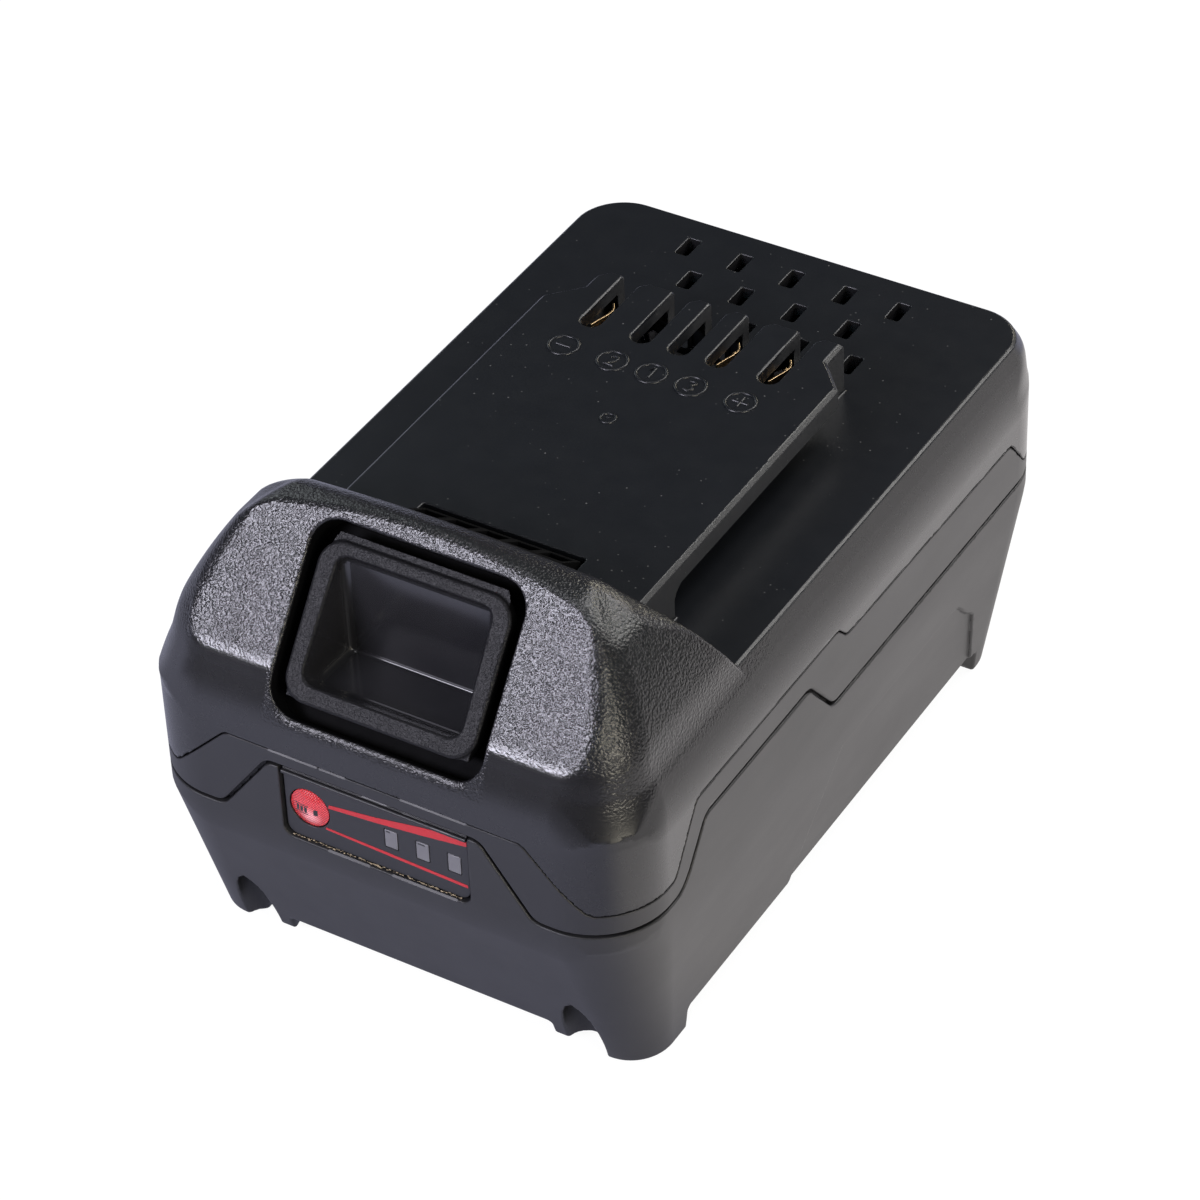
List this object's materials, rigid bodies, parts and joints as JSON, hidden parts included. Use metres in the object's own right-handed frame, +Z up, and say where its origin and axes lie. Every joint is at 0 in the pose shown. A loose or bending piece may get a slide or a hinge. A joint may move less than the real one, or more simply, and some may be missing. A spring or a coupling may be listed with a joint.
{
  "type": "power tool battery pack",
  "caption": "Slide-on battery pack: a drafted tray and a housing with a T-rail, slotted terminals, a raised nose with a sprung release button, and a charge gauge on the front.",
  "frame": {"origin": "middle of the foot print, at the level of the feet", "axes": "+Z up, +Y from the gauge and nose at the front to the vents at the rear, +X to the right when facing the gauge from the front"},
  "size_m": [0.076, 0.122, 0.0727],
  "materials": {
    "housing_plastic": "matt, grained on the nose",
    "tray_plastic": "satin",
    "button_plastic": "glossy tub, finely grained rim",
    "gauge_plastic": "satin",
    "red_plastic": "satin",
    "lamp_plastic": "milky",
    "screw_steel": "plain",
    "spring_steel": "bright drawn wire",
    "cell_wrap": "shrink wrap",
    "holder_plastic": "moulded",
    "nickel": "rolled strip",
    "fibre": "pressed fibre sheet",
    "foam": "closed-cell foam",
    "board_laminate": "lacquered",
    "chip_plastic": "moulded",
    "capacitor_can": "sleeved can",
    "contact_metal": "tarnished",
    "cable_plastic": "ribbon",
    "switch_plastic": "moulded"
  },
  "bodies": {
    "pack": {"upper_housing": "housing_plastic", "lower_tray": "tray_plastic", "housing_screws": "screw_steel", "latch_bracket": "holder_plastic", "latch_springs": "spring_steel", "gauge_panel": "gauge_plastic", "lamp_windows": "lamp_plastic", "gauge_board": "board_laminate", "switch_body": "chip_plastic", "gauge_lamps": "lamp_plastic", "gauge_cable": "cable_plastic", "cells_lower": "cell_wrap", "cells_upper": "cell_wrap", "cell_holder_left": "holder_plastic", "cell_holder_right": "holder_plastic", "nickel_strips_left": "nickel", "nickel_strips_right": "nickel", "end_sheets": "fibre", "cell_pads": "foam", "main_board": "board_laminate", "board_sheet": "fibre", "power_transistors": "chip_plastic", "board_capacitors": "capacitor_can", "control_chip": "chip_plastic", "shunt_bar": "contact_metal", "board_screws": "screw_steel", "thermistor": "chip_plastic", "terminal_carrier": "holder_plastic", "contact_minus": "contact_metal", "contact_plus": "contact_metal", "signal_contacts": "contact_metal"},
    "release": {"release_button": "button_plastic"},
    "push": {"gauge_button": "red_plastic"},
    "plunger": {"switch_plunger": "switch_plastic"}
  },
  "joints": [
    {"name": "release_press", "type": "slide", "parent": "pack", "child": "release", "axis": [0, 0, -1], "range_m": [0, 0.0028], "stiffness_N_per_m": 900, "springref_m": -0.004, "deforming": ["latch_springs"]},
    {"name": "gauge_press", "type": "slide", "parent": "pack", "child": "push", "axis": [0, 1, 0], "range_m": [0, 0.0005], "stiffness_N_per_m": 2000, "springref_m": -0.0006},
    {"name": "switch_press", "type": "slide", "parent": "pack", "child": "plunger", "axis": [0, 1, 0], "range_m": [0, 0.0006]}
  ],
  "couplings": [
    {"joint": "switch_press", "follows": "gauge_press", "ratio": 1}
  ]
}
